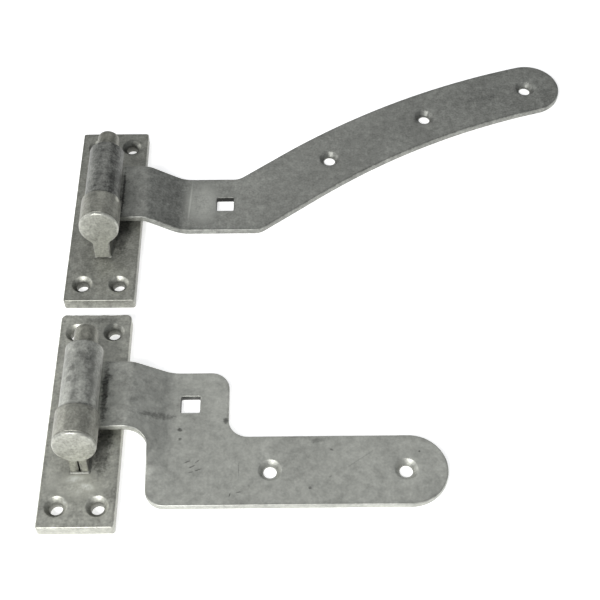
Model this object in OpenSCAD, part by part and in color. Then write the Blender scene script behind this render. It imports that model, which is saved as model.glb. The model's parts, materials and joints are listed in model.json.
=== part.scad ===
// Pair of galvanised gate hinges for a curved-rail gate: two cranked bands on two pins, each pin carried by
// a post plate. The upper band has a curved arm that follows the gate's rail, the lower one a straight arm
// set down from the strap.
// Millimetres. X runs from the post across the gate, Y up the post along the common pin axis, Z out of the
// post's face. The origin is the middle of the upper plate's back. Closed position, as drawn: both bands
// lie with their backs in the plane of the plates' backs.

/* [Post plates] */
// width of the upper plate across the post
upper_plate_w = 52; // [48:0.2:56]
// width of the lower plate across the post
lower_plate_w = 50.6; // [48:0.2:56]
// plate length up the post
plate_len = 166.4; // [160:0.2:175]
// plate thickness
plate_t = 10; // [8:0.5:12]
// gap between the lower and the upper plate
plate_gap = 12.6; // [6:0.2:60]
// corner radius at the top of the lower plate
plate_corner_r = 3; // [1:0.5:6]
// screw holes: distance between the two columns
hole_dx = 26.8; // [24:0.2:32]
// screw holes: distance of the end rows from the plate's ends
hole_end = 15.2; // [11:0.1:20]
// screw hole diameter
hole_d = 8.7; // [6:0.1:10]
// countersink diameter in the plates
plate_sink_d = 14.8; // [12:0.2:18]

/* [Pin and collar] */
// pin diameter
pin_d = 16.6; // [14:0.2:17]
// pin axis above the back of the plates
pin_z = 38.5; // [37:0.5:46]
// length of pin standing out above the eye
pin_nose = 15.4; // [8:0.2:30]
// rounding of the pin's free end
pin_round = 3; // [1:0.5:6]
// thickness of the strip wrapped round the pin
collar_t = 6.2; // [5:0.1:7]
// width of that strip, which is the length of the collar
collar_len = 28; // [22:0.5:30]
// backward lean of the collar's end face in degrees
collar_lean = 9.5; // [0:0.5:12]
// gap between the two tails of the strip
tail_slit = 0.6; // [0.4:0.1:1.2]
// weld over the pin's foot: height of its dome
cap_h = 2.7; // [2.3:0.1:4]

/* [Bands] */
// strap thickness
strap_t = 5.4; // [4.8:0.1:6]
// strap width
strap_w = 51.6; // [49:0.2:52]
// thickness of the rolled eye, which is thinned by rolling
eye_t = 4.5; // [4:0.1:4.8]
// radial clearance of the eye on the pin
eye_clear = 0.06; // [0.03:0.01:0.1]
// drop of the crank from the eye to the arm
crank_drop = 16.1; // [15:0.1:17]
// distance of the middle of the crank from the pin axis
crank_x = 43.7; // [42:0.1:46]
// slope of the crank in degrees
crank_a = 31.7; // [30:0.1:36]
// side of the square bolt holes
square_s = 12.8; // [10:0.1:13.5]
// countersink diameter in the bands
band_sink_d = 15.4; // [12:0.2:17]
// play between the eye and the collar it rests on
rest_gap = 0.4; // [0.3:0.1:1]

/* [Upper arm] */
// radius of the arm's centre line
arc_r = 576; // [560:1:600]
// direction from the arc's centre to the start of the arc, degrees
arc_start = 127; // [126:0.1:128]
// direction from the arc's centre to the middle of the rounded end, degrees
arc_end = 105.7; // [100:0.1:110]
// square bolt hole from the pin axis
upper_square_x = 89.2; // [85:0.1:92]

/* [Lower arm] */
// left edge of the step from the pin axis
step_x0 = 42.5; // [42:0.1:44]
// right edge of the step from the pin axis
step_x1 = 96.7; // [94:0.1:100]
// middle of the rounded end from the pin axis
arm_end_x = 217.6; // [190:0.2:300]
// first round hole from the pin axis
arm_hole_x1 = 124.7; // [118:0.1:140]
// second round hole from the pin axis
arm_hole_x2 = 215.3; // [180:0.1:218]
// square bolt hole from the pin axis
lower_square_x = 70.1; // [68:0.1:76]

/* [Hidden] */
$fn = 64;

eps = 0.01;
// near end of each plate along the post
upper_plate_y = -plate_len / 2;
lower_plate_y = upper_plate_y - plate_gap - plate_len;
// lower edge of each strap, which is the lower end of its eye
upper_strap_y = upper_plate_y + 69.1;
lower_strap_y = lower_plate_y + 67.8;
// pin, eye and collar radii
pin_r = pin_d / 2;
eye_r = pin_r + eye_clear;
eye_out_r = eye_r + eye_t;
collar_out_r = pin_r + 0.1 + collar_t;
// strap at the eye: underside and top face
strap_z0 = crank_drop;
strap_z1 = crank_drop + strap_t;
// half the run of the sloping part, and the shift between the corners of its two faces
crank_run = crank_drop / tan(crank_a) / 2;
crank_shift = strap_t * tan(crank_a / 2);
// radii of the crank's bends on the top face
bend_r_up = 12;
bend_r_down = 20;
// centre of the upper arm's arc
arc_cx = 495;
arc_cy = upper_strap_y + strap_w / 2 - 429.4;
steel = [0.60, 0.62, 0.62];
steel_dark = [0.52, 0.54, 0.54];
steel_light = [0.68, 0.70, 0.69];

// centre of the circle of radius r that touches both edges leaving corner p in the directions a and b
function round_centre(p, a, b, r) = p + r / sin(abs(a - b) / 2) * [cos((a + b) / 2), sin((a + b) / 2)];

// point on the edge leaving p in the direction a where that circle touches it
function touch_point(p, a, b, r) = p + r / tan(abs(a - b) / 2) * [cos(a), sin(a)];

// outline points that open an inner corner p up to the circle's centre; round_off then leaves the fillet
function open_corner(p, a, b, r) = [
    touch_point(p, a, b, r), round_centre(p, a, b, r), touch_point(p, b, a, r)
];

// circle taken away at an opened inner corner
module round_off(p, a, b, r) {
    translate(round_centre(p, a, b, r)) circle(r = r, $fn = r > 100 ? 720 : 96);
}

// area taken away from an outer corner p to round it with radius r
module corner_cut(p, a, b, r) {
    mid = [cos((a + b) / 2), sin((a + b) / 2)];
    difference() {
        polygon([p - mid, touch_point(p, a, b, r), round_centre(p, a, b, r), touch_point(p, b, a, r)]);
        round_off(p, a, b, r);
    }
}

// outline of a neck from z0 up to the axis of a ring of radius big_r, flared by size where it meets the ring
module neck(z0, big_r, half_w, size) {
    drop = sqrt(pow(big_r, 2) - pow(half_w + size, 2));
    polygon([
        [0, pin_z], [-half_w - size, pin_z - drop + 0.3], [-half_w, pin_z - drop - 1.2 * size],
        [-half_w, z0], [half_w, z0], [half_w, pin_z - drop - 1.2 * size],
        [half_w + size, pin_z - drop + 0.3]
    ]);
}

// through hole with a countersink on the top face z
module sink_hole(x, y, z, sink_d) {
    cone = (sink_d - hole_d) / 2;
    translate([x, y, -1]) cylinder(d = hole_d, h = z + 2);
    translate([x, y, z - cone]) cylinder(d1 = hole_d, d2 = sink_d, h = cone);
    translate([x, y, z - eps]) cylinder(d = sink_d, h = 2);
}

// outline in X and Z carried along Y from y to y + len
module along_y(y, len) {
    translate([0, y + len, 0]) rotate([90, 0, 0]) linear_extrude(height = len) children();
}

// ---- plates ----

module plate_outline(y, plate_w, corner_r) {
    difference() {
        translate([-plate_w / 2, y]) square([plate_w, plate_len]);
        if (corner_r > 0) {
            corner_cut([plate_w / 2, y + plate_len], 180, 270, corner_r);
            corner_cut([-plate_w / 2, y + plate_len], 360, 270, corner_r);
        }
    }
}

module post_plate(y, plate_w, strap_y, corner_r) {
    foot_y = strap_y - rest_gap - collar_len;
    difference() {
        linear_extrude(height = plate_t) plate_outline(y, plate_w, corner_r);
        for (x = [-hole_dx / 2, hole_dx / 2]) {
            for (row = [hole_end, plate_len - hole_end]) {
                sink_hole(x, y + row, plate_t, plate_sink_d);
            }
        }
        // slot for the tails of the collar
        translate([-collar_t - 0.1, foot_y - 0.1, -1]) cube([2 * collar_t + 0.2, collar_len + 0.2, plate_t + 2]);
    }
}

// ---- pin, collar and welds ----

// space in front of the collar's leaning end face, which starts at foot_y on the plate
module front_cut(foot_y) {
    translate([-30, foot_y, plate_t]) rotate([-collar_lean, 0, 0]) translate([0, -40, -8]) cube([60, 40, 80]);
}

module pin(strap_y) {
    foot_y = strap_y - rest_gap - collar_len;
    len = strap_w + rest_gap + collar_len + pin_nose;
    difference() {
        translate([0, foot_y, pin_z]) rotate([-90, 0, 0]) rotate_extrude($fn = 96) {
            difference() {
                square([pin_r, len]);
                corner_cut([pin_r, len], 180, 270, pin_round);
            }
        }
        front_cut(foot_y + 0.3);
    }
}

// strip wrapped round the pin, with its two tails side by side in the plate's slot
module pin_collar(strap_y) {
    foot_y = strap_y - rest_gap - collar_len;
    difference() {
        along_y(foot_y, collar_len) {
            difference() {
                union() {
                    translate([0, pin_z]) circle(r = collar_out_r, $fn = 96);
                    neck(1.6, collar_out_r, collar_t, 1.8);
                }
                translate([0, pin_z]) circle(r = pin_r + 0.05, $fn = 96);
                translate([-tail_slit / 2, 0]) square([tail_slit, pin_z]);
            }
        }
        front_cut(foot_y);
    }
}

// domed weld that closes the collar and holds the pin
module pin_weld(strap_y) {
    base = 1.9;
    rise = cap_h - base;
    rim = collar_out_r - 0.2;
    ball = (pow(rim, 2) + pow(rise, 2)) / (2 * rise);
    up = (pin_z - plate_t) / cos(collar_lean);
    translate([0, strap_y - rest_gap - collar_len, plate_t]) rotate([-collar_lean, 0, 0]) translate([0, 0, up]) {
        rotate([90, 0, 0]) rotate_extrude($fn = 96) {
            intersection() {
                translate([0, cap_h - ball]) circle(r = ball, $fn = 512);
                square([rim, cap_h]);
            }
        }
    }
}

// fillet weld round the foot of the neck, on the front of the plate
module foot_weld(strap_y) {
    leg = 1.4;
    foot_y = strap_y - rest_gap - collar_len;
    for (side = [0, 1]) {
        mirror([side, 0, 0]) {
            along_y(foot_y, collar_len) {
                corner_fillet(collar_t, plate_t, leg);
            }
        }
    }
    translate([-collar_t, foot_y, 0]) rotate([90, 0, 90]) linear_extrude(height = 2 * collar_t) {
        mirror([1, 0]) corner_fillet(0, plate_t, leg);
    }
    for (side = [0, 1]) {
        mirror([side, 0, 0]) translate([collar_t, foot_y, plate_t]) intersection() {
            cylinder(r1 = leg, r2 = 0.4, h = leg, $fn = 48);
            translate([0, -leg, 0]) cube([leg, leg, leg]);
        }
    }
}

// triangle with its right angle at (x, z)
module corner_fillet(x, z, leg) {
    polygon([[x, z], [x + leg, z], [x + 0.4, z + leg], [x, z + leg]]);
}

// weld that fills the slot behind the tails, flush with the plate's back
module back_weld(strap_y) {
    foot_y = strap_y - rest_gap - collar_len;
    translate([-collar_t, foot_y, 0]) cube([2 * collar_t, collar_len, 1.5]);
}

// ---- bands ----

// strap seen from its end: rolled eye, short neck, flat, crank and arm out to reach
module band_profile(reach) {
    top_a = [crank_x - crank_run, strap_z1];
    top_b = [crank_x + crank_run, strap_t];
    low_a = top_a - [crank_shift, strap_t];
    low_b = top_b - [crank_shift, strap_t];
    foot_z = strap_z0 + 1.5;
    flare_z = pin_z - sqrt(pow(eye_out_r, 2) - pow(strap_t + 1, 2));
    flat = concat(
        [[0, pin_z], [-strap_t - 1, flare_z + 0.3], [-strap_t, flare_z - 1.2], [-strap_t, foot_z]],
        [[0, foot_z], [0, strap_z0]],
        open_corner(low_a, 180, 360 - crank_a, bend_r_up - strap_t),
        [low_b, [reach, 0], [reach, strap_t]],
        open_corner(top_b, 0, 180 - crank_a, bend_r_down),
        [top_a],
        open_corner([strap_t, strap_z1], 0, 90, 2),
        [[strap_t, flare_z - 1.2], [strap_t + 1, flare_z + 0.3]]
    );
    difference() {
        union() {
            translate([0, pin_z]) circle(r = eye_out_r, $fn = 96);
            polygon(flat);
        }
        translate([0, pin_z]) circle(r = eye_r, $fn = 96);
        translate([-tail_slit / 2, 0]) square([tail_slit, pin_z]);
        round_off([strap_t, strap_z1], 0, 90, 2);
        round_off(low_a, 180, 360 - crank_a, bend_r_up - strap_t);
        round_off(top_b, 0, 180 - crank_a, bend_r_down);
        corner_cut([tail_slit / 2, strap_z0], 0, 90, strap_t + 2);
        corner_cut(top_a, 180, 360 - crank_a, bend_r_up);
        corner_cut(low_b, 180 - crank_a, 0, bend_r_down + strap_t);
    }
}

module square_hole(x, y) {
    translate([x - square_s / 2, y - square_s / 2, -1]) cube([square_s, square_s, strap_t + 2]);
}

// plan of the upper band: straight strap, straight start of the arm, arc and rounded end
module upper_plan() {
    lean = arc_start - 90;
    half_w = strap_w / 2;
    inner = arc_r - half_w;
    outer = arc_r + half_w;
    y0 = upper_strap_y;
    y1 = upper_strap_y + strap_w;
    arc_c = [arc_cx, arc_cy];
    // ends of the arc's two edges, and the corner where the tangents of the outer edge meet
    out_p = arc_c + outer * [cos(arc_start), sin(arc_start)];
    in_p = arc_c + inner * [cos(arc_start), sin(arc_start)];
    out_end = arc_c + outer * [cos(arc_end), sin(arc_end)] + half_w * [sin(arc_end), -cos(arc_end)];
    in_end = arc_c + inner * [cos(arc_end), sin(arc_end)] + half_w * [sin(arc_end), -cos(arc_end)];
    mid_a = (arc_start + arc_end) / 2;
    knee = arc_c + outer / cos((arc_start - arc_end) / 2) * [cos(mid_a), sin(mid_a)];
    // corners where the sloping start leaves the strap
    top_c = [out_p[0] - (out_p[1] - y1) / tan(lean), y1];
    low_c = [in_p[0] - (in_p[1] - y0) / tan(lean), y0];
    difference() {
        polygon(concat(
            [[-30, y0], low_c, in_p, arc_c, arc_c + inner * [cos(arc_end), sin(arc_end)], in_end, out_end, knee],
            open_corner(top_c, lean, 180, 12),
            [[-30, y1]]
        ));
        translate(arc_c) circle(r = inner, $fn = 720);
        round_off(top_c, lean, 180, 12);
        corner_cut(knee, arc_start + 90, arc_end + 270, outer);
        corner_cut(low_c, 180, lean, 14);
        corner_cut(out_end, arc_end + 90, arc_end + 180, half_w);
        corner_cut(in_end, arc_end, arc_end + 90, half_w);
    }
}

module upper_band() {
    color(steel) difference() {
        intersection() {
            along_y(upper_strap_y - 1, 200) band_profile(400);
            translate([0, 0, -1]) linear_extrude(height = 80) upper_plan();
        }
        square_hole(upper_square_x, upper_strap_y + strap_w / 2);
        for (a = [124.2, 115.15, 105.95]) {
            sink_hole(arc_cx + arc_r * cos(a), arc_cy + arc_r * sin(a), strap_t, band_sink_d);
        }
    }
}

// outline of the lower band seen from above, with every corner rounded
module lower_plan() {
    y1 = lower_strap_y + strap_w;
    y0 = lower_strap_y;
    arm_y1 = lower_strap_y + 0.7;
    arm_y0 = arm_y1 - strap_w;
    tip_x = arm_end_x + strap_w / 2;
    difference() {
        polygon(concat(
            [[-30, y1], [step_x1, y1]],
            open_corner([step_x1, arm_y1], 90, 0, 13),
            [[tip_x, arm_y1], [tip_x, arm_y0], [step_x0, arm_y0]],
            open_corner([step_x0, y0], 270, 180, 10),
            [[-30, y0]]
        ));
        round_off([step_x1, arm_y1], 90, 0, 13);
        round_off([step_x0, y0], 270, 180, 10);
        corner_cut([step_x1, y1], 180, 270, 13);
        corner_cut([step_x0, arm_y0], 0, 90, 13);
        corner_cut([tip_x, arm_y1], 180, 270, strap_w / 2);
        corner_cut([tip_x, arm_y0], 90, 180, strap_w / 2);
    }
}

module lower_band() {
    // the crank's slope runs on past the inner corner to fold_y and then fades out over fold_len
    fold_y = lower_strap_y - 10;
    fold_len = 26;
    arm_y = lower_strap_y + 0.7 - strap_w / 2;
    fold_x = crank_x + crank_run;
    lift = (fold_x - step_x0) * tan(crank_a);
    side = atan(lift / fold_len);
    color(steel_light) difference() {
        union() {
            // eye, strap and step, down to the fold
            intersection() {
                along_y(fold_y, 80) band_profile(400);
                translate([0, 0, -1]) linear_extrude(height = 80) lower_plan();
            }
            // flat arm
            intersection() {
                linear_extrude(height = strap_t) lower_plan();
                linear_extrude(height = strap_t) polygon([
                    [fold_x, fold_y + eps], [300, fold_y + eps], [300, fold_y - 80],
                    [step_x0 - 1, fold_y - 80], [step_x0 - 1, fold_y - fold_len],
                    [step_x0, fold_y - fold_len]
                ]);
            }
            // three-cornered fold between the slope and the arm
            intersection() {
                translate([0, 0, -1]) linear_extrude(height = 40) lower_plan();
                linear_extrude(height = 40) polygon([
                    [fold_x, fold_y + eps], [step_x0 - 1, fold_y + eps], [step_x0 - 1, fold_y - fold_len],
                    [step_x0, fold_y - fold_len]
                ]);
                translate([fold_x, fold_y, 0]) fold_slab(side);
            }
        }
        square_hole(lower_square_x, lower_strap_y + strap_w / 2);
        for (x = [arm_hole_x1, arm_hole_x2]) {
            sink_hole(x, arm_y, strap_t, band_sink_d);
        }
    }
}

// slab of strap thickness that rises by the crank's slope towards -X and falls by side towards -Y
module fold_slab(side) {
    gx = tan(crank_a);
    gy = tan(side);
    tilt = atan(sqrt(gx * gx + gy * gy));
    turn = atan2(gy, -gx);
    rotate([0, 0, turn]) rotate([0, -tilt, 0]) translate([-80, -80, 0]) cube([160, 160, strap_t * cos(tilt)]);
}

// ---- nodes ----

module upper_post_plate() { color(steel) post_plate(upper_plate_y, upper_plate_w, upper_strap_y, 0); }
module upper_pin() { color(steel_dark) pin(upper_strap_y); }
module upper_pin_collar() { color(steel) pin_collar(upper_strap_y); }
module upper_pin_weld() { color(steel_light) pin_weld(upper_strap_y); }
module upper_foot_weld() { color(steel_light) foot_weld(upper_strap_y); }
module upper_back_weld() { color(steel_dark) back_weld(upper_strap_y); }
module lower_post_plate() { color(steel) post_plate(lower_plate_y, lower_plate_w, lower_strap_y, plate_corner_r); }
module lower_pin() { color(steel_dark) pin(lower_strap_y); }
module lower_pin_collar() { color(steel) pin_collar(lower_strap_y); }
module lower_pin_weld() { color(steel_light) pin_weld(lower_strap_y); }
module lower_foot_weld() { color(steel_light) foot_weld(lower_strap_y); }
module lower_back_weld() { color(steel_dark) back_weld(lower_strap_y); }

upper_post_plate();
upper_pin();
upper_pin_collar();
upper_pin_weld();
upper_foot_weld();
upper_back_weld();
upper_band();
lower_post_plate();
lower_pin();
lower_pin_collar();
lower_pin_weld();
lower_foot_weld();
lower_back_weld();
lower_band();
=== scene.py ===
"""Looks of a pair of hot-dip galvanised gate hinges: two cranked bands on two pins, each on a post plate.

Outlines are worked out in millimetres in the CAD frame and turned into metres when a mesh is made.
Every piece is a closed shell with rounded edges. The zinc's unevenness is pressed inwards and only a few
small lumps stand out, so the whole stays within the CAD model's box.
"""

import json
import math

import bmesh
import bpy
import numpy as np
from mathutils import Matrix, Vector, noise
from mathutils.geometry import delaunay_2d_cdt


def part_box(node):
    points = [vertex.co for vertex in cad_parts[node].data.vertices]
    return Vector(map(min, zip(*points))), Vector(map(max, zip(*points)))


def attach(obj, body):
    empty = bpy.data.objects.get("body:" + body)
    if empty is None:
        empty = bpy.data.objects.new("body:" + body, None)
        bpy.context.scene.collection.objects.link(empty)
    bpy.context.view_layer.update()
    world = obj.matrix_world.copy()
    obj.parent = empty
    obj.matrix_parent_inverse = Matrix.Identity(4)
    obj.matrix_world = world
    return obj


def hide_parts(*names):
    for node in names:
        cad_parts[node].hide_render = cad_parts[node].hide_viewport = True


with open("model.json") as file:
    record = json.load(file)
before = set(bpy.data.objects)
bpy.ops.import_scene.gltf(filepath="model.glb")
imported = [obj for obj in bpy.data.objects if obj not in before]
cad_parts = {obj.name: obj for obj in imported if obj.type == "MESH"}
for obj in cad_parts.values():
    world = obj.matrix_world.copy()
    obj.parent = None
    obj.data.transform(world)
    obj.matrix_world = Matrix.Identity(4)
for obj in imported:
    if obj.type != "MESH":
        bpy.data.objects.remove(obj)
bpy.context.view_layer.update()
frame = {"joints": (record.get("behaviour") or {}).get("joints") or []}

MM = 0.001
NEAR = 0.01  # in mm: two places no further apart than this count as one


# ---- how finely the meshes are made, in mm where it isn't a count ----

EDGE_STEPS = 4
EDGE_RIM = 0.5  # width of the ring on the face beside a rounded edge
EDGE_PAINTED_LIGHT = (0.15, 0.45, 0.6, 0.3, -0.7, -0.3)  # painted highlight on the rounding, painted shade where it meets the face
FACE_GRID = 2.2  # spacing of the points that fill a face
CAP_GRID = 1.6
LATHE_STEPS = 64


# ---- sizes, in mm unless a name or comment says otherwise ----

STRAP_T = 5.4
STRAP_W = 51.6
HALF_W = STRAP_W / 2
STRAP_EDGE_R = 1.0
STRAP_END_X = 400  # past the tip of either band
JOIN_X = 10.0  # where the band's eye and its flat strap are joined in the mesh

CRANK_DROP = 16.1
CRANK_X = 43.7
CRANK_A = math.radians(31.7)
CRANK_RUN = CRANK_DROP / math.tan(CRANK_A) / 2
CRANK_SHIFT = STRAP_T * math.tan(CRANK_A / 2)
CRANK_TOP_R = 12
CRANK_FOOT_R = 20

EYE_CLEAR = 0.06
EYE_FILLET = 1.5
SLIT = 0.3  # half of the slit between the tails of a rolled piece

ARC_R = 576.0  # middle of the upper band's curved arm
ARC_CENTRE_X = 495.0
ARC_CENTRE_DROP = 429.4
ARC_START = 127.0  # degrees
ARC_END = 105.7
ARC_HOLES = (124.2, 115.15, 105.95)

ARM_HOLES_X = (124.7, 215.3)
ARM_STEP = 0.7  # how far the lower band's arm reaches above the strap's lower edge
STEP_X0 = 42.5
STEP_X1 = 96.7
FOLD_START = 37  # the lower band's crank fades out below the strap's lower edge, from here upwards
FOLD_LEN = 31

HOLE_R = 4.35
PLATE_SINK_R = 7.4
BAND_SINK_R = 7.7
SQUARE = 12.8
UPPER_SQUARE_X = 89.2
LOWER_SQUARE_X = 70.1

PLATE_T = 10.0
PLATE_EDGE_R = 1.1
PLATE_FOOT_R = 1.9
PLATE_HOLE_X = 13.4
PLATE_HOLE_END = 15.2
SLOT_W = 12.6
SLOT_PLAY = 0.2

COLLAR_BORE_R = 8.35
COLLAR_TAIL = 6.2
COLLAR_FILLET = 5
LEAN = math.tan(math.radians(9.5))  # backward lean of the collar's end face
NO_FADE = 1000  # so long a fade that the whole piece leans alike
WELD_RISE = 2.7
WELD_FOOT_Z = 10.4


def box_mm(node_name):
    low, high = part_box(node_name)
    return np.array(low) / MM, np.array(high) / MM


def joint_mm(name):
    pos = [j for j in frame["joints"] if j["name"] == name][0]["pos_m"]
    return np.array(pos) / MM


# ---- outlines ----

def unit(v):
    return v / np.maximum(np.linalg.norm(v, axis=-1, keepdims=True), 1e-12)


def left(v):
    return np.stack([-v[..., 1], v[..., 0]], -1)


def polar(centre, r, degrees):
    a = np.radians(degrees)
    return np.array(centre) + r * np.stack([np.cos(a), np.sin(a)], -1)


def arc(centre, r, start, end, count):
    return polar(centre, r, np.linspace(start, end, count + 1))


def keyhole_flank(ring_r, half_w, pin_z, fillet):
    """Right-hand side of a keyhole outline, from the neck's straight side up through its fillet to the ring,
    and the direction in degrees, from the ring's centre, at which it meets the ring."""
    z = pin_z - math.sqrt((ring_r + fillet) ** 2 - (half_w + fillet) ** 2)
    meet = math.degrees(math.atan2(z - pin_z, half_w + fillet))
    return arc((half_w + fillet, z), fillet, 180, 180 + meet, 8), meet


def mirrored(line):
    return (line * [-1, 1])[::-1]


def rounded(corners, closed=True, step=2.5):
    """Line through the corners (x, y, radius), each rounded by its radius, with its points no further apart
    than step."""
    widest_turn = 0.13
    same_point = 0.05
    points = []
    count = len(corners)
    for i, (x, y, r) in enumerate(corners):
        here = np.array([x, y], float)
        if r == 0 or (not closed and i in (0, count - 1)):
            points.append(here)
            continue
        back = unit(np.array(corners[i - 1][:2]) - here)
        on = unit(np.array(corners[(i + 1) % count][:2]) - here)
        half = math.acos(max(-1.0, min(1.0, float(back @ on)))) / 2
        centre = here + unit(back + on) * r / math.sin(half)
        start = here + back * r / math.tan(half) - centre
        turn = math.pi - 2 * half
        side = math.copysign(1, back[0] * on[1] - back[1] * on[0])
        steps = max(3, math.ceil(turn / widest_turn), math.ceil(turn * r / step))
        for k in range(steps + 1):
            a = -side * turn * k / steps
            points.append(centre + [start[0] * math.cos(a) - start[1] * math.sin(a),
                                    start[0] * math.sin(a) + start[1] * math.cos(a)])
    if closed:
        points.append(points[0])
    line = [points[0]]
    for p in points[1:]:
        gap = p - line[-1]
        far = float(np.hypot(*gap))
        if far < same_point:
            continue
        pieces = math.ceil(far / step)
        start = line[-1]
        line.extend(start + gap * k / pieces for k in range(1, pieces + 1))
    if closed:
        line.pop()
    return np.array(line)


def offset(line, d, closed=True):
    """The line moved by d to its left, with mitred corners."""
    if closed:
        before, after = np.roll(line, 1, 0), np.roll(line, -1, 0)
    else:
        before = np.vstack([2 * line[0] - line[1], line[:-1]])
        after = np.vstack([line[1:], 2 * line[-1] - line[-2]])
    m = left(unit(line - before)) + left(unit(after - line))
    return line + d * m * 2 / np.maximum((m * m).sum(-1, keepdims=True), 0.5)


def inside(points, loop):
    x, y = points[:, :1], points[:, 1:]
    x0, y0 = loop[:, 0], loop[:, 1]
    x1, y1 = np.roll(x0, -1), np.roll(y0, -1)
    crosses = (y0 > y) != (y1 > y)
    rise = np.where(y1 == y0, 1e-12, y1 - y0)
    return (crosses & (x < (x1 - x0) * (y - y0) / rise + x0)).sum(1) % 2 == 1


def between(points, loops):
    """Which points lie inside the first loop and outside the others."""
    keep = inside(points, loops[0])
    for hole in loops[1:]:
        keep &= ~inside(points, hole)
    return keep


def distance(points, border):
    """Each point's distance to the nearest point of the border, worked out in parts to save memory."""
    parts = [part for part in np.array_split(points, 16) if len(part)]
    return np.concatenate([np.sqrt(((part[:, None] - border[None]) ** 2).sum(-1)).min(1) for part in parts])


def fill(loops, spacing):
    """Triangles over the area inside the first loop and outside the others. The loops' own points come
    first, and the rest are an even triangular grid that keeps a little away from them."""
    row_step = 0.866
    clear = 0.55
    border = np.vstack(loops)
    low, high = border.min(0), border.max(0)
    grid = []
    for i, y in enumerate(np.arange(low[1], high[1], spacing * row_step)):
        grid += [(x, y) for x in np.arange(low[0] + spacing * (i % 2) / 2, high[0], spacing)]
    grid = np.array(grid)
    grid = grid[between(grid, loops)]
    if len(grid):
        grid = grid[distance(grid, border) > clear * spacing]
    points = np.vstack([border, grid])
    edges, start = [], 0
    for loop in loops:
        n = len(loop)
        edges += [(start + k, start + (k + 1) % n) for k in range(n)]
        start += n
    found = delaunay_2d_cdt([Vector(p) for p in points], edges, [], 0, 1e-9)
    if len(found[0]) != len(points):
        raise ValueError("an outline crosses itself")
    names = [orig[0] for orig in found[3]]
    tris = np.array([[names[i] for i in f] for f in found[2]])
    return points, tris[between(points[tris].mean(1), loops)]


def upright(flat, y):
    """Points of x and z turned into xyz at y, which is one number or one for each point."""
    return np.column_stack([flat[:, 0], np.broadcast_to(y, len(flat)), flat[:, 1]])


def raised(flat, z):
    """Points of x and y turned into xyz at z, which is one number or one for each point."""
    return np.column_stack([flat, np.broadcast_to(z, len(flat))])


# ---- meshes ----

def zinc_push(p, amp, bulges, shift):
    """How far in mm the zinc moves the point p outwards: it dents by up to amp, and only bulges stand out."""
    dent = 0.5 + 0.35 * noise.noise(p / 17 + shift) + 0.15 * noise.noise(p / 4.5 + shift)
    push = -amp * max(0.0, min(1.0, dent))
    for centre, r, height in bulges:
        far2 = (p - Vector(centre)).length_squared / (r * r)
        if far2 < 6:
            push += height * math.exp(-far2) * (0.8 + 0.4 * noise.noise(p / 1.3 + shift))
    return push


class Shell:
    """Points in mm and faces of one piece, with a painted light value for each point: above 0 it paints a
    highlight, and below 0 it paints shade."""

    def __init__(self):
        self.points, self.faces, self.painted_light = [], [], []

    def add(self, xyz, painted_light=0.0):
        start = len(self.points)
        self.points.extend(np.asarray(xyz, float).tolist())
        self.painted_light.extend(np.broadcast_to(painted_light, len(xyz)).tolist())
        return np.arange(start, start + len(xyz))

    def strips(self, rings, closed=True):
        for a, b in zip(rings, rings[1:]):
            n = len(a)
            for k in range(n if closed else n - 1):
                m = (k + 1) % n
                self.faces.append((a[k], a[m], b[m], b[k]))

    def patch(self, loops, place, spacing=FACE_GRID, painted_light=0.0):
        """Fills the loops; place turns the flat points into xyz."""
        flat, tris = fill(loops, spacing)
        ids = self.add(place(flat), painted_light)
        self.faces.extend(tuple(ids[t]) for t in tris)

    def build(self, name, body, node_name, material, amp, bulges=(), seed=0.0):
        """Makes the piece, which rides on body and stands for the CAD node."""
        merge_dist, sliver = 0.004 * MM, 0.002 * MM
        mesh = bpy.data.meshes.new(name)
        faces = [tuple(int(i) for i in f) for f in self.faces]
        mesh.from_pydata((np.array(self.points) * MM).tolist(), [], faces)
        bm = bmesh.new()
        bm.from_mesh(mesh)
        layer = bm.verts.layers.float.new("painted_light")
        for v, w in zip(bm.verts, self.painted_light):
            v[layer] = w
        bmesh.ops.remove_doubles(bm, verts=bm.verts, dist=merge_dist)
        bmesh.ops.dissolve_degenerate(bm, dist=sliver, edges=bm.edges)
        bmesh.ops.recalc_face_normals(bm, faces=bm.faces)
        bm.normal_update()
        shift = Vector((seed * 31.7, seed * 17.3, seed * 7.1))
        moves = [v.normal * zinc_push(v.co / MM, amp, bulges, shift) * MM for v in bm.verts]
        for v, move in zip(bm.verts, moves):
            v.co += move
        bm.to_mesh(mesh)
        bm.free()
        mesh.shade_smooth()
        obj = bpy.data.objects.new(name, mesh)
        bpy.context.scene.collection.objects.link(obj)
        mesh.materials.append(material)
        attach(obj, body)
        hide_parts(node_name)
        return obj


def edge_arc(r):
    """Points (inset, drop) of a rounded edge, from the upright wall to the face, and one on the face."""
    angles = [math.pi / 2 * k / EDGE_STEPS for k in range(EDGE_STEPS + 1)]
    return [(r - r * math.cos(t), r - r * math.sin(t)) for t in angles] + [(r + EDGE_RIM, 0.0)]


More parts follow.
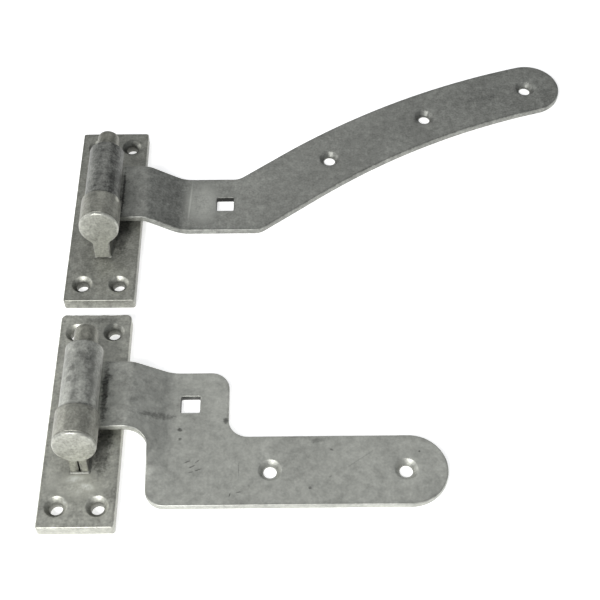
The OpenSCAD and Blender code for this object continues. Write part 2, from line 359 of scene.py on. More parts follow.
def slab(shell, outline, top, bottom, edge_r, holes, seam=None):
    """A plate over the outline between the surfaces bottom and top, with rounded edges and holes. With a
    seam, the outline is an open line whose ends are joined to another part of the shell, and seam gives the
    y stations."""
    closed = seam is None
    walls = []
    for side, surface, sign in (("top", top, -1), ("bottom", bottom, 1)):
        rings = []
        # rounded edges: painted highlight on the rounding, painted shade where it meets the face
        for (inset, drop), painted_light in zip(edge_arc(edge_r), EDGE_PAINTED_LIGHT):
            line = offset(outline, inset, closed)
            rings.append(shell.add(raised(line, surface(*line.T) + sign * drop), painted_light))
        shell.strips(rings, closed)
        walls.append(rings[0])
        border = offset(outline, edge_r + EDGE_RIM, closed)
        if not closed:
            stations = [y for y in reversed(seam) if border[0, 1] + NEAR < y < border[-1, 1] - NEAR]
            border = np.vstack([border, [[JOIN_X, y] for y in stations]])
        loops = [border] + [hole[side] for hole in holes]
        shell.patch(loops, lambda flat, surface=surface: raised(flat, surface(*flat.T)))
    shell.strips(walls, closed)
    for hole in holes:
        shell.strips([shell.add(raised(line, z), painted_light) for line, z, painted_light in hole["wall"]])


def sunk_hole(x, y, t, sink_r, highlight_strength):
    """Round hole through a flat part of thickness t, with a 45 degree countersink on top. The countersink's
    side that faces the light gets a painted highlight, stronger with a larger last argument, and the rest of
    the cone and the bore get painted shade."""
    # direction of the painted highlight on the countersink, towards the light
    highlight_side = 65
    degrees = np.arange(0, 360, 9.0)
    painted_highlight = highlight_strength * np.cos(np.radians(degrees - highlight_side))

    def ring(r):
        return polar((x, y), r, degrees)

    cone = sink_r - HOLE_R
    top_r, bottom_r = sink_r + 0.45, HOLE_R + 0.6
    levels = [
        (top_r, t, 0.0),
        (sink_r + 0.1, t - 0.12, 0.2),
        (sink_r - 0.3, t - 0.42, 1.4 * painted_highlight),
        (sink_r - cone * 0.5, t - cone * 0.5, 1.9 * painted_highlight - 0.5),
        (HOLE_R + 0.35, t - cone + 0.3, 1.4 * painted_highlight - 1.0),
        (HOLE_R, t - cone - 0.25, -1.0),
        (HOLE_R, (t - cone) / 2, -1.5),
        (HOLE_R, 0.6, -1.0),
        (HOLE_R + 0.2, 0.15, 0.3),
        (bottom_r, 0.0, 0.2)
    ]
    wall = [(ring(r), z, painted_light) for r, z, painted_light in levels]
    return {"top": ring(top_r), "bottom": ring(bottom_r), "wall": wall}


def square_hole(x, y, t, width, depth, corner=1.0):
    """Four-cornered hole through a flat part of thickness t."""
    w, d = width / 2, depth / 2
    line = rounded([
        (x - w, y - d, corner), (x - w, y + d, corner), (x + w, y + d, corner), (x + w, y - d, corner)
    ])
    rim = offset(line, 0.9)
    # painted shade down the hole's walls, and a slight painted highlight on its rims
    levels = [
        (0.9, t, 0.0), (0.35, t - 0.12, 0.3), (0.05, t - 0.5, -2.5), (0, t - 1, -4.0),
        (0, 1, -4.0), (0.05, 0.5, -1.0), (0.35, 0.12, 0.5), (0.9, 0, 0.2)
    ]
    return {"top": rim, "bottom": rim, "wall": [(offset(line, out), z, painted_light) for out, z, painted_light in levels]}


def lean_back(shell, y0, y1):
    """Leans the end at y0 back with its height above the plate. The lean fades out towards y1, and just in
    front of y0 it grows by as much."""
    points = np.array(shell.points)
    fade = np.clip((y1 - points[:, 1]) / (y1 - y0), 0, 1.2)
    points[:, 1] += np.maximum(points[:, 2] - PLATE_T, 0) * LEAN * fade
    shell.points = points.tolist()


def draw_in(shell, y1):
    """Draws the top of the eye's far end in a little, as rolling does."""
    draw, from_z, fade = 1.9, 26, 8
    points = np.array(shell.points)
    drawn = np.clip((points[:, 1] - (y1 - fade)) / fade, 0, 1) * np.clip((points[:, 2] - from_z) / fade, 0, 1)
    points[:, 1] -= draw * drawn
    shell.points = points.tolist()


def bar(shell, profile, y0, y1, edge_r, stations, closed=True):
    """A profile in x and z carried along y from y0 to y1, with its end edges rounded and its ends capped. An
    open profile's ends are joined to another part of the shell."""
    # the rounded end edges get the same painted highlight and shade, and the caps a slight painted highlight
    steps = list(zip(edge_arc(edge_r)[:-1], EDGE_PAINTED_LIGHT))
    rings = [(y0 + rise, offset(profile, inset, closed), painted_light) for (rise, inset), painted_light in steps]
    rings += [(y, profile, 0.0) for y in stations if y0 + edge_r + NEAR < y < y1 - edge_r - NEAR]
    rings += [(y1 - rise, offset(profile, inset, closed), painted_light) for (rise, inset), painted_light in reversed(steps)]
    shell.strips([shell.add(upright(line, y), painted_light) for y, line, painted_light in rings], closed)
    cap = offset(profile, edge_r, closed)
    for y in (y0, y1):
        shell.patch([cap], lambda flat, y=y: upright(flat, y), CAP_GRID, painted_light=0.1)


def lathe(shell, profile, x, z):
    """A profile of (radius, y) points turned round the line along y through (x, z)."""
    angles = np.arange(LATHE_STEPS) * 360 / LATHE_STEPS
    rings = [shell.add(upright(polar((x, z), r, angles), y)) for r, y in profile]
    shell.strips(rings)
    shell.faces += [tuple(rings[0]), tuple(rings[-1])]


def relief(shell, outline, y_back, height, edge_r, spacing=1.2):
    """A raised patch over an outline in x and z: flat at y_back, standing out towards -y by height(x, z)."""
    rings = []
    # the rim rings get a painted highlight
    for inset, part in ((0.0, 0.0), (0.05, 0.35), (0.2, 0.62), (0.45, 0.84), (1.0, 1.0)):
        line = offset(outline, inset * edge_r)
        rings.append(shell.add(upright(line, y_back - part * height(*line.T)), 0.6))
    shell.strips(rings)
    shell.patch([offset(outline, edge_r)], lambda flat: upright(flat, y_back - height(*flat.T)), spacing)
    shell.patch([outline], lambda flat: upright(flat, y_back), spacing * 2)


# ---- materials ----

def node(tree, kind, settings=None, **inputs):
    """A shader node. An input is given by its name, or as i0, i1 and so on by its place."""
    made = tree.nodes.new("ShaderNode" + kind)
    for key, value in (settings or {}).items():
        setattr(made, key, value)
    for key, value in inputs.items():
        by_place = key[0] == "i" and key[1:].isdigit()
        socket = made.inputs[int(key[1:]) if by_place else key.replace("_", " ")]
        if isinstance(value, bpy.types.NodeSocket):
            tree.links.new(value, socket)
        else:
            socket.default_value = value
    return made


def calc(tree, operation, a, b, clamp=False):
    return node(tree, "Math", {"operation": operation, "use_clamp": clamp}, i0=a, i1=b).outputs[0]


def plus(tree, value, part, amount, clamp=False):
    """value + part * amount"""
    return calc(tree, "ADD", value, calc(tree, "MULTIPLY", part, amount), clamp)


def grain(tree, where, size, stretch=(1, 1, 1), detail=3.0, shift=0.0):
    """Noise of -0.5 to 0.5 with features of about size mm, times stretch along each axis. shift moves it."""
    scale = tuple(1000.0 / (size * s) for s in stretch)
    mapped = node(tree, "Mapping", Vector=where, Scale=scale, Location=(shift, shift * 0.7, shift * 0.3))
    made = node(tree, "TexNoise", Vector=mapped.outputs[0], Scale=1.0, Detail=detail, Roughness=0.55)
    return calc(tree, "SUBTRACT", made.outputs[0], 0.5)


def blot(tree, where, ragged, centre, size, turn):
    """1 within an ellipse round centre (mm), falling to 0 at its ragged edge."""
    centre_m, size_m = [tuple(value * MM for value in values) for values in (centre, size)]
    moved = node(tree, "VectorMath", {"operation": "SUBTRACT"}, i0=where, i1=centre_m)
    mapped = node(tree, "Mapping", {"vector_type": "TEXTURE"}, Vector=moved.outputs[0],
                  Rotation=(0, 0, math.radians(turn)), Scale=size_m)
    far = node(tree, "VectorMath", {"operation": "LENGTH"}, i0=mapped.outputs[0]).outputs[1]
    return node(tree, "MapRange", {"interpolation_type": "SMOOTHSTEP"}, Value=calc(tree, "ADD", far, ragged),
                From_Min=0.35, From_Max=1.15, To_Min=1.0, To_Max=0.0).outputs[0]


def marked(tree, coords, fine, ragged, blots, lines):
    """The marks' change of tone, on the faces that look out of the post and not on the backs."""
    marks = 0.0
    for group, border in ((blots, ragged), (lines, calc(tree, "MULTIPLY", fine, 0.7))):
        for centre, size, turn, strength in group:
            spot = blot(tree, coords.outputs["Object"], border, centre, size, turn)
            marks = plus(tree, marks, spot, strength)
    outward = node(tree, "SeparateXYZ", Vector=coords.outputs["Normal"]).outputs[2]
    outward = node(tree, "MapRange", Value=outward, From_Min=-0.1, From_Max=0.25).outputs[0]
    return calc(tree, "MULTIPLY", marks, outward)


def zinc_colour(tree, value, warmth):
    """Turns a tone of 0 to 1 into the zinc's grey, a little yellower with more warmth."""
    ramp = node(tree, "ValToRGB", Fac=value)
    stops = ramp.color_ramp.elements
    stops[0].position, stops[0].color = 0.0, (0.012, 0.012, 0.010, 1)
    stops[1].position, stops[1].color = 1.0, (0.92, 0.94, 0.90, 1)
    for place, grey in ((0.25, 0.09), (0.5, 0.27), (0.75, 0.55)):
        stop = stops.new(place)
        stop.color = (grey * (0.985 + 0.02 * warmth), grey, grey * (0.915 - 0.06 * warmth), 1)
    return ramp.outputs[0]


def galvanised(name, tone, warmth=0.0, mottle=0.40, speck=0.38, roughness=0.46, bump=0.38, blots=(), lines=(),
               seed=0.0):
    """Dull hot-dip zinc. tone is its middle brightness; blots are (centre, size, turn, strength) in mm and
    degrees, where a negative strength darkens; lines are thin straight marks of the same form with hard
    edges."""
    clouds, streaks, edge = 0.24, 0.03, 0.14
    material = bpy.data.materials.new(name)
    material.use_nodes = True
    tree = material.node_tree
    shader = tree.nodes["Principled BSDF"]
    coords = node(tree, "TexCoord")
    where = coords.outputs["Object"]
    big = grain(tree, where, 38, detail=4.0, shift=seed)
    mid = grain(tree, where, 5, detail=5.0, shift=seed + 3)
    fine = grain(tree, where, 1.6, shift=seed + 5)
    runs = grain(tree, where, 2.6, stretch=(1, 9, 1), shift=seed + 9)

    value = node(tree, "Math", {"operation": "MULTIPLY_ADD"}, i0=big, i1=clouds, i2=tone).outputs[0]
    for part, amount in ((mid, mottle), (fine, speck), (runs, streaks)):
        value = plus(tree, value, part, amount)
    # the points' stored values paint light: a highlight above 0 and shade below 0
    painted_light = node(tree, "Attribute", {"attribute_name": "painted_light"}).outputs["Fac"]
    uneven = calc(tree, "ADD", calc(tree, "MULTIPLY", mid, 2.2), 0.9, clamp=True)
    value = plus(tree, value, calc(tree, "MULTIPLY", painted_light, uneven), edge)
    ragged = plus(tree, calc(tree, "MULTIPLY", mid, 0.9), fine, 0.8)
    value = calc(tree, "ADD", value, marked(tree, coords, fine, ragged, blots, lines))
    # dark flecks where the zinc is thin
    thin = grain(tree, where, 5, detail=6.0, shift=seed + 14)
    fleck = node(tree, "MapRange", Value=thin, From_Min=0.20, From_Max=0.30, To_Min=0.0, To_Max=-0.16)
    value = calc(tree, "ADD", value, fleck.outputs[0], clamp=True)
    tree.links.new(zinc_colour(tree, value, warmth), shader.inputs["Base Color"])

    rough = plus(tree, calc(tree, "MULTIPLY", mid, 0.25), fine, 0.2)
    tree.links.new(calc(tree, "ADD", rough, roughness, clamp=True), shader.inputs["Roughness"])
    shader.inputs["Metallic"].default_value = 0.6
    height = plus(tree, calc(tree, "MULTIPLY", mid, 0.9), fine, 0.35)
    height = plus(tree, height, runs, 0.25)
    bumps = node(tree, "Bump", Height=height, Strength=bump, Distance=0.0006)
    tree.links.new(bumps.outputs[0], shader.inputs["Normal"])
    return material


# ---- post plates ----

def post_plate(which, corner_r, material, bulges, seed):
    node_name = which + "_post_plate"
    (x0, y0, _), (x1, y1, t) = box_mm(node_name)
    collar_low, collar_high = box_mm(which + "_pin_collar")
    outline = rounded([
        (x0, y0, PLATE_FOOT_R), (x1, y0, PLATE_FOOT_R), (x1, y1, corner_r), (x0, y1, corner_r)
    ])
    holes = [
        sunk_hole(x, y, t, PLATE_SINK_R, 1.0)
        for x in (-PLATE_HOLE_X, PLATE_HOLE_X) for y in (y0 + PLATE_HOLE_END, y1 - PLATE_HOLE_END)
    ]
    mid_y = (collar_low[1] + collar_high[1]) / 2
    holes.append(square_hole(0, mid_y, t, SLOT_W, collar_high[1] - collar_low[1] + SLOT_PLAY, 0.5))
    shell = Shell()
    slab(shell, outline, lambda x, y: t, lambda x, y: 0.0, PLATE_EDGE_R, holes)
    shell.build(which + "_plate", which + "_hook", node_name, material, 0.16, bulges, seed)


# ---- bands ----

def profile_line(corners):
    line = rounded(corners, closed=False, step=1.5)
    return lambda x: np.interp(x, line[:, 0], line[:, 1])


TOP_LINE = profile_line([
    (0, CRANK_DROP + STRAP_T, 0), (CRANK_X - CRANK_RUN, CRANK_DROP + STRAP_T, CRANK_TOP_R),
    (CRANK_X + CRANK_RUN, STRAP_T, CRANK_FOOT_R), (STRAP_END_X, STRAP_T, 0)
])
LOW_LINE = profile_line([
    (0, CRANK_DROP, 0), (CRANK_X - CRANK_RUN - CRANK_SHIFT, CRANK_DROP, CRANK_TOP_R - STRAP_T),
    (CRANK_X + CRANK_RUN - CRANK_SHIFT, 0, CRANK_FOOT_R + STRAP_T), (STRAP_END_X, 0, 0)
])


def eye_profile(pin_z, ring_r, bore_r):
    """Outline in x and z of the rolled eye, its neck and the start of the strap, open at JOIN_X."""
    top_z, low_z = CRANK_DROP + STRAP_T, CRANK_DROP
    tail_z = low_z + 1.5
    flank, meet = keyhole_flank(ring_r, STRAP_T, pin_z, EYE_FILLET)
    slit = math.degrees(math.asin(SLIT / bore_r))
    start = rounded([(JOIN_X, top_z, 0), (STRAP_T, top_z, 2), (*flank[0], 0)], closed=False)
    ring = arc((0, pin_z), ring_r, meet, 180 - meet, 64)[1:-1]
    tail = rounded([
        (*mirrored(flank)[-1], 0), (-STRAP_T, tail_z, 1.3), (-SLIT, tail_z, 0), (-SLIT, pin_z - bore_r, 0)
    ], closed=False)
    bore = arc((0, pin_z), bore_r, 270 - slit, -90 + slit, 56)[1:-1]
    bend = rounded([
        (SLIT, pin_z - bore_r, 0), (SLIT, low_z, STRAP_T + 2), (JOIN_X, low_z, 0)
    ], closed=False)
    return np.vstack([start, flank[1:], ring, mirrored(flank), tail[1:], bore, bend])


def band(which, corners, top, low, holes, material, seed):
    """A whole band: its eye, and its strap over the corners between the surfaces low and top."""
    node_name = which + "_band"
    pos = joint_mm(node_name + "_swing")
    y0, y1 = pos[1] - HALF_W, pos[1] + HALF_W
    pin_low, pin_high = box_mm(which + "_pin")
    ring_r = -box_mm(node_name)[0][0]
    bore_r = (pin_high[0] - pin_low[0]) / 2 + EYE_CLEAR
    even = np.linspace(y0 + STRAP_EDGE_R, y1 - STRAP_EDGE_R, 23)
    # the strap's face starts further in than the eye's rounded edge, so the stations do too
    middle = even[(even > y0 + 2.2) & (even < y1 - 2.2)]
    stations = np.concatenate([[y0 + STRAP_EDGE_R + EDGE_RIM], middle, [y1 - STRAP_EDGE_R - EDGE_RIM]])
    shell = Shell()
    bar(shell, eye_profile(pos[2], ring_r, bore_r), y0, y1, STRAP_EDGE_R, stations, closed=False)
    slab(shell, rounded(corners, closed=False), top, low, STRAP_EDGE_R, holes, seam=stations)
    draw_in(shell, y1)
    shell.build(which + "_strap", node_name, node_name, material, 0.14, seed=seed)


def upper_band(material):
    """The band with the curved arm: its two edges are arcs round one centre, and its tip is round."""
    mid_y = joint_mm("upper_band_swing")[1]
    y0, y1 = mid_y - HALF_W, mid_y + HALF_W
    centre = np.array([ARC_CENTRE_X, mid_y - ARC_CENTRE_DROP])
    slope = math.tan(math.radians(ARC_START - 90))
    inner, outer = ARC_R - HALF_W, ARC_R + HALF_W
    in_p, out_p = polar(centre, inner, ARC_START), polar(centre, outer, ARC_START)
    # each arc is a rounded corner: the corner itself lies where the tangents at its two ends meet
    half = math.cos(math.radians((ARC_START - ARC_END) / 2))
    middle = (ARC_START + ARC_END) / 2
    knee_in, knee_out = polar(centre, inner / half, middle), polar(centre, outer / half, middle)
    tip = HALF_W * np.array([math.sin(math.radians(ARC_END)), -math.cos(math.radians(ARC_END))])
    in_end, out_end = polar(centre, inner, ARC_END) + tip, polar(centre, outer, ARC_END) + tip
    corners = [
        (JOIN_X, y0, 0), (in_p[0] - (in_p[1] - y0) / slope, y0, 14), (*knee_in, inner), (*in_end, HALF_W),
        (*out_end, HALF_W), (*knee_out, outer), (out_p[0] - (out_p[1] - y1) / slope, y1, 12), (JOIN_X, y1, 0)
    ]
    holes = [square_hole(UPPER_SQUARE_X, mid_y, STRAP_T, SQUARE, SQUARE)]
    holes += [sunk_hole(*polar(centre, ARC_R, a), STRAP_T, BAND_SINK_R, 0.3) for a in ARC_HOLES]
    band("upper", corners, lambda x, y: TOP_LINE(x), lambda x, y: LOW_LINE(x), holes, material, 1.0)


def lower_band(material):
    """The band with the straight arm, set down from the strap. Its crank fades out into the flat arm."""
    mid_y = joint_mm("lower_band_swing")[1]
    y0, y1 = mid_y - HALF_W, mid_y + HALF_W
    arm_y1 = y0 + ARM_STEP
    arm_y0 = arm_y1 - STRAP_W
    tip_x = box_mm("lower_band")[1][0]
    corners = [
        (JOIN_X, y0, 0), (STEP_X0, y0, 10), (STEP_X0, arm_y0, 13), (tip_x, arm_y0, HALF_W),
        (tip_x, arm_y1, HALF_W), (STEP_X1, arm_y1, 13), (STEP_X1, y1, 13), (JOIN_X, y1, 0)
    ]

    def fade(y):
        s = np.clip((y - (y0 - FOLD_START)) / FOLD_LEN, 0, 1)
        return s * s * (3 - 2 * s)

    def top(x, y):
        return STRAP_T + (TOP_LINE(x) - STRAP_T) * fade(y)

    def low(x, y):
        return LOW_LINE(x) * fade(y)

    holes = [square_hole(LOWER_SQUARE_X, mid_y, STRAP_T, SQUARE, SQUARE)]
    holes += [sunk_hole(x, (arm_y0 + arm_y1) / 2, STRAP_T, BAND_SINK_R, 0.3) for x in ARM_HOLES_X]
    band("lower", corners, top, low, holes, material, 2.0)


# ---- pins, collars and welds ----

def pin(which, material, seed):
    (x0, _, z0), (x1, y1, z1) = box_mm(which + "_pin")
    y0 = box_mm(which + "_pin_collar")[0][1] + 0.4
    x, z, r = (x0 + x1) / 2, (z0 + z1) / 2, (x1 - x0) / 2
    nose_r = 3.6
    profile = [(r, y) for y in np.linspace(y0, y1 - 4, 42)]
    for a in np.radians(np.linspace(0, 90, 9)[1:]):
        profile.append((r - nose_r + nose_r * math.cos(a), y1 - nose_r + nose_r * math.sin(a)))
    profile += [(r - 5.5, y1 - 0.02), (r - 7.2, y1)]
    shell = Shell()
    lathe(shell, profile, x, z)
    lean_back(shell, y0, y0 + 26)
    shell.build(which + "_pin_bar", which + "_hook", which + "_pin", material, 0.22, seed=seed)


def collar(which, material, bulges, seed):
    """The strip round the pin's foot, a keyhole whose two tails pass down into the plate's slot."""
    node_name = which + "_pin_collar"
    (x0, y0, z0), (x1, y1, z1) = box_mm(node_name)
    ring_r = (x1 - x0) / 2
    pin_z = z1 - ring_r
    flank, meet = keyhole_flank(ring_r, COLLAR_TAIL, pin_z, COLLAR_FILLET)
    slit = math.degrees(math.asin(SLIT / COLLAR_BORE_R))
    foot = rounded([(SLIT, z0, 0), (COLLAR_TAIL, z0, 1.2), (*flank[0], 0)], closed=False, step=1.8)
    ring = arc((0, pin_z), ring_r, meet, 180 - meet, 60)[1:-1]
    bore = arc((0, pin_z), COLLAR_BORE_R, 270 - slit, -90 + slit, 48)
    right = np.vstack([foot, flank[1:]])
    shell = Shell()
    bar(shell, np.vstack([right, ring, mirrored(right), bore]), y0, y1, 0.9, np.linspace(y0, y1, 16))
    lean_back(shell, y0, y1)
    shell.build(which + "_collar", which + "_hook", node_name, material, 0.2, bulges, seed)


def end_weld(which, material, with_tails, seed):
    """Flat-domed weld over the pin's foot, on the collar's leaning end face. with_tails makes it run down
    over the collar's two tails."""
    node_name = which + "_pin_weld"
    (x0, _, _), (x1, _, _) = box_mm(node_name)
    collar_y = box_mm(which + "_pin_collar")[0][1]
    pin_low, pin_high = box_mm(which + "_pin")
    r = (x1 - x0) / 2 + 0.1
    z = (pin_low[2] + pin_high[2]) / 2

    def height(px, pz):
        far = np.hypot(px, pz - z) / r
        dome = WELD_RISE - 0.75 + 0.45 * np.clip(1 - far ** 2, 0, 1)
        lumps = 0.09 * np.sin(px * 1.1 + seed) * np.sin(pz * 0.9 + 2 * seed)
        return dome + lumps * np.clip(1.2 - far, 0, 1)

    if with_tails:
        flank, meet = keyhole_flank(r, COLLAR_TAIL, z, COLLAR_FILLET)
        foot = rounded([
            (0, WELD_FOOT_Z, 0), (COLLAR_TAIL - 0.2, WELD_FOOT_Z, 1.8), (*flank[0], 0)
        ], closed=False, step=1.4)
        right = np.vstack([foot, flank[1:]])
        outline = np.vstack([right, arc((0, z), r, meet, 180 - meet, 60)[1:-1], mirrored(right)[:-1]])
    else:
        outline = arc((0, z), r, 0, 360, 64)[:-1]
    shell = Shell()
    relief(shell, outline, collar_y + 0.02, height, 0.9)
    lean_back(shell, collar_y, collar_y + NO_FADE)
    shell.build(which + "_end_weld", which + "_hook", node_name, material, 0.1, seed=seed)


def foot_weld(which, material, seed):
    """Uneven bead along the two sides and the front of the neck, on the plate's face."""
    node_name = which + "_foot_weld"
    (_, y0, z0), (x1, y1, z1) = box_mm(node_name)
    leg = z1 - z0
    w = x1 - leg
    front = y0 + leg
    path = rounded([(-w, y1, 0), (-w, front, 0.6), (w, front, 0.6), (w, y1, 0)], closed=False, step=0.8)
    shell = Shell()
    rings = []
    for i, p in enumerate(path):
        before, after = path[max(i - 1, 0)], path[min(i + 1, len(path) - 1)]
        out = -left(unit(after - before))
        size = leg * (0.72 + 0.40 * noise.noise(Vector((p[0] / 1.8, p[1] / 1.8, seed))))
        section = [
            (-0.6, 0.0), (-0.6, size), (0.12, size), (0.28 * size, 0.62 * size), (0.6 * size, 0.28 * size),
            (size, 0.12), (size, 0.0)
        ]
        points = [(p[0] + out[0] * o, p[1] + out[1] * o, z0 + h + 0.01) for o, h in section]
        # the bead gets a slight painted highlight
        rings.append(shell.add(points, 0.3))
    shell.strips(rings)
    shell.faces += [tuple(rings[0]), tuple(rings[-1])]
    shell.build(which + "_neck_weld", which + "_hook", node_name, material, 0.05, seed=seed)


def back_weld(which, material, seed):
    """Weld that fills the slot behind the tails, rippled across and just below flush."""
    node_name = which + "_back_weld"
    (x0, y0, z0), (x1, y1, z1) = box_mm(node_name)
    outline = rounded([(x0, y0, 1.0), (x1, y0, 1.0), (x1, y1, 1.0), (x0, y1, 1.0)], step=1.0)
    inner = offset(outline, 0.3)

    def ripple(x, y):
        edge = np.minimum(np.minimum(x - x0, x1 - x), np.minimum(y - y0, y1 - y))
        return z0 + 0.32 - 0.2 * np.clip(edge / 2.0, 0, 1) + 0.1 * np.sin(y * 2.4 + 0.5 * np.sin(x * 0.8))

    shell = Shell()
    rings = [
        shell.add(raised(outline, z1)),
        shell.add(raised(outline, ripple(*outline.T) + 0.15)),
        shell.add(raised(inner, ripple(*inner.T)))
    ]
    shell.strips(rings)
    shell.patch([inner], lambda flat: raised(flat, ripple(*flat.T)), 0.9)
    shell.patch([outline], lambda flat: raised(flat, z1), 3)
    shell.build(which + "_slot_weld", which + "_hook", node_name, material, 0.03, seed=seed)


# ---- the set ----

def eye_darkening_and_shade(y):
    """The eye at y made darker over its barrel, with painted shade on its right-hand side, away from the
    light.
    """
    return [((0, y, 40), (30, 60, 20), 0, -0.12), ((9, y, 44), (6, 40, 14), 0, -0.07)]


# The lower plate and band get a higher tone than the upper ones: painted light, for the lower hinge standing
# nearer the front lights.
zinc = {
    "upper_plate": galvanised("zinc_upper_plate", 0.50, warmth=0.5, seed=1, blots=[
        # painted shadow on the plate right of the collar, by the strap, and painted shade under the eye's
        # left side
        ((13, -22, 10), (7, 22, 3), 0, -0.16), ((-12, 5, 10), (5, 30, 3), 0, -0.08),
        ((0, -46, 10), (9, 3.5, 3), 0, -0.10)
    ]),
    "lower_plate": galvanised("zinc_lower_plate", 0.62, warmth=0.5, seed=2, blots=[
        ((-1, -231, 10), (19, 11, 3), 0, 0.12), ((-3, -227, 10), (9, 3.5, 3), 12, 0.12),
        # the blot at (13.5, -205, 10) is painted shadow on the plate right of the collar, by the strap
        ((6, -233, 10), (6, 3, 3), -20, 0.12), ((13.5, -205, 10), (7, 20, 3), 0, -0.22),
        ((-19, -226, 10), (5, 12, 3), 0, 0.08), ((0, -101, 10), (25, 2.5, 3), 0, -0.10)
    ]),
    "pin": galvanised("zinc_pin", 0.45, warmth=1.0, seed=3),
    "collar": galvanised("zinc_collar", 0.50, warmth=0.8, seed=4, blots=[
        ((12.4, -17.5, 45.5), (2.4, 2.4, 3), 0, 0.30), ((-3, -219, 50), (6, 3, 5), 0, 0.10)
    ]),
    "weld": galvanised("zinc_weld", 0.60, warmth=0.4, mottle=0.34, speck=0.46, roughness=0.4, bump=0.5,
                       seed=5),
    "back": galvanised("zinc_back_weld", 0.40, warmth=0.4, mottle=0.24, bump=0.5, seed=6),
    "upper_band": galvanised("zinc_upper_band", 0.50, seed=7, blots=[
        # the blot at (24, 10, 21) is painted shade on the strap beside the eye
        ((24, 10, 21), (12, 28, 5), 0, -0.02), ((71, 14, 5), (15, 22, 4), 0, 0.15),
        ((298, 124, 5), (15, 4, 4), 18, -0.08), ((352, 128, 5), (8, 14, 4), 0, -0.06),
        # painted shade, with some dark unzinced metal, in the crevice right of the eye; then the eye's
        # darkening and painted shade
        ((12.4, 12, 22), (1.1, 27, 4), 0, -0.30), *eye_darkening_and_shade(12)
    ], lines=[((62, 14, 6), (0.9, 24, 5), -3, 0.12)]),
    "lower_band": galvanised("zinc_lower_band", 0.665, warmth=0.1, mottle=0.34, speck=0.22, seed=8, blots=[
        # after the smudge come the eye's darkening and painted shade
        ((43, -181, 9), (21, 3.0, 12), 7, -0.17), *eye_darkening_and_shade(-168),
        ((63.8, -188.6, 5), (1.8, 1.5, 4), 0, -0.30), ((64.1, -195.6, 5), (1.5, 1.3, 4), 0, -0.28),
        # the blot at (24, -168, 21) is painted shade on the strap beside the eye
        ((94.7, -181.9, 5), (2.2, 2.6, 5), 0, -0.28), ((24, -168, 21), (12, 28, 5), 0, -0.08),
        # the blot at (13.4, -168, 22) is painted shade, with some dark unzinced metal, in the crevice right
        # of the eye
        ((13.4, -168, 22), (2.6, 27, 4), 0, -0.36), ((158, -197.5, 5), (8, 2.0, 4), 10, -0.10),
        ((151, -233, 5), (1.3, 1.2, 4), 0, -0.22), ((-4.6, -166.7, 50), (3.0, 3.2, 6), 0, -0.16),
        ((-5.8, -174.5, 50), (2.6, 3.0, 6), 0, -0.16), ((3, -156.6, 51), (4.5, 6, 5), 0, -0.10)
    ], lines=[
        ((185, -211.8, 5), (14.5, 0.4, 4), 35, -0.10), ((69.5, -213, 5), (2.8, 0.6, 4), 22, -0.22),
        ((73, -216.5, 5), (3.0, 0.6, 4), 28, -0.24), ((77, -219, 5), (2.6, 0.6, 4), 20, -0.22),
        ((72, -220.8, 5), (2.4, 0.5, 4), 15, -0.18), ((76.5, -212.5, 5), (2.4, 0.5, 4), 40, -0.18),
        ((98.5, -237.5, 5), (0.5, 2.2, 4), -15, -0.28), ((104.5, -235.5, 5), (2.0, 0.6, 4), 10, -0.28),
        ((104, -219.5, 5), (0.45, 5.5, 4), 2, -0.14), ((166, -204.7, 5), (1.6, 0.8, 4), -30, -0.20),
        ((164.7, -224.8, 5), (1.4, 0.8, 4), 30, -0.16), ((224.7, -206.5, 5), (0.9, 0.9, 4), 0, -0.24)
    ]),
}

# lumps of zinc that stand out, as (centre, radius, height): drips on the lower plate's top edge, and blobs
# on the upper collar
drips = [
    ((x, -95.8, 8.6), 2.6, height)
    for x, height in ((-21, 0.8), (-15, 0.5), (-8, 0.7), (-2, 0.3), (6, 0.6), (14, 0.4), (20, 0.7))
]
blobs = [((11.5, -16.6, 47.0), 1.8, 0.9), ((13.2, -18.5, 44.0), 1.5, 0.7)]

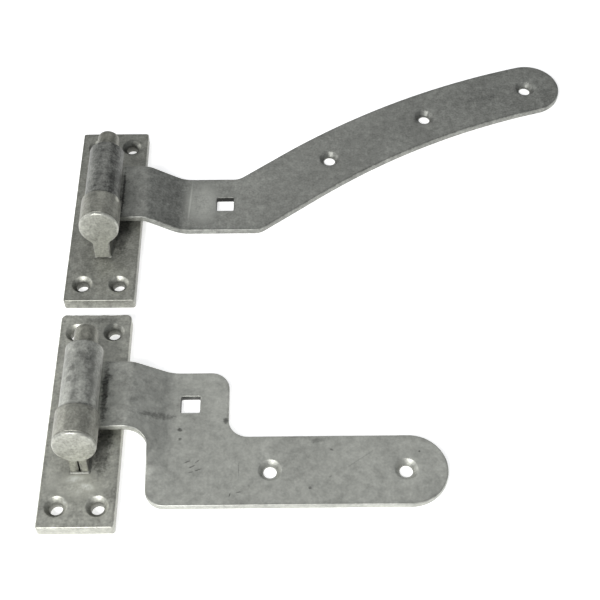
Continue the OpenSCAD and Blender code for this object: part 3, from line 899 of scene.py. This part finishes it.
post_plate("upper", 1.9, zinc["upper_plate"], (), 3.0)
post_plate("lower", 3.2, zinc["lower_plate"], drips, 4.0)
upper_band(zinc["upper_band"])
lower_band(zinc["lower_band"])
for which, is_upper, seed in (("upper", True, 5.0), ("lower", False, 8.0)):
    pin(which, zinc["pin"], seed)
    collar(which, zinc["collar"], blobs if is_upper else (), seed + 0.3)
    end_weld(which, zinc["weld"], is_upper, seed + 0.6)
    foot_weld(which, zinc["back"], seed + 0.9)
    back_weld(which, zinc["back"], seed + 1.2)


# ---- floor, light and camera ----

def stage():
    half, z = 4, -0.0006
    mesh = bpy.data.meshes.new("floor")
    corners = [(-half, -half, z), (half, -half, z), (half, half, z), (-half, half, z)]
    mesh.from_pydata(corners, [], [(0, 1, 2, 3)])
    floor = bpy.data.objects.new("floor", mesh)
    bpy.context.scene.collection.objects.link(floor)
    material = bpy.data.materials.new("white_table")
    material.use_nodes = True
    shader = material.node_tree.nodes["Principled BSDF"]
    shader.inputs["Base Color"].default_value = (0.9, 0.9, 0.9, 1)
    shader.inputs["Roughness"].default_value = 0.9
    shader.inputs["Emission Color"].default_value = (1, 1, 1, 1)
    shader.inputs["Emission Strength"].default_value = 0.66
    mesh.materials.append(material)


def area_light(name, place, target, size, power):
    lamp = bpy.data.lights.new(name, "AREA")
    lamp.shape = "DISK"
    lamp.size = size
    lamp.energy = power
    obj = bpy.data.objects.new(name, lamp)
    bpy.context.scene.collection.objects.link(obj)
    obj.location = place
    obj.rotation_euler = (Vector(target) - Vector(place)).to_track_quat("-Z", "Y").to_euler()


stage()
area_light("key", (-0.25, -0.95, 0.88), (0.08, -0.08, 0.0), 0.40, 12.5)
area_light("left", (-1.1, 0.35, 0.55), (0.0, -0.1, 0.0), 0.7, 3.5)
area_light("back", (0.15, 1.0, 1.25), (0.12, -0.05, 0.0), 0.9, 2.2)
world = bpy.data.worlds.new("studio")
world.use_nodes = True
world.node_tree.nodes["Background"].inputs[0].default_value = (0.92, 0.95, 1.0, 1)
world.node_tree.nodes["Background"].inputs[1].default_value = 0.24
bpy.context.scene.world = world
bpy.context.scene.view_settings.view_transform = "Standard"

camera_data = bpy.data.cameras.new("camera")
camera_data.lens = 71.84
camera_data.sensor_width = 36.0
camera = bpy.data.objects.new("camera", camera_data)
camera.location = (0.1407, -0.5939, 0.7132)
camera.rotation_euler = (math.radians(35.941), 0.0, math.radians(-0.608))
bpy.context.scene.collection.objects.link(camera)
bpy.context.scene.camera = camera
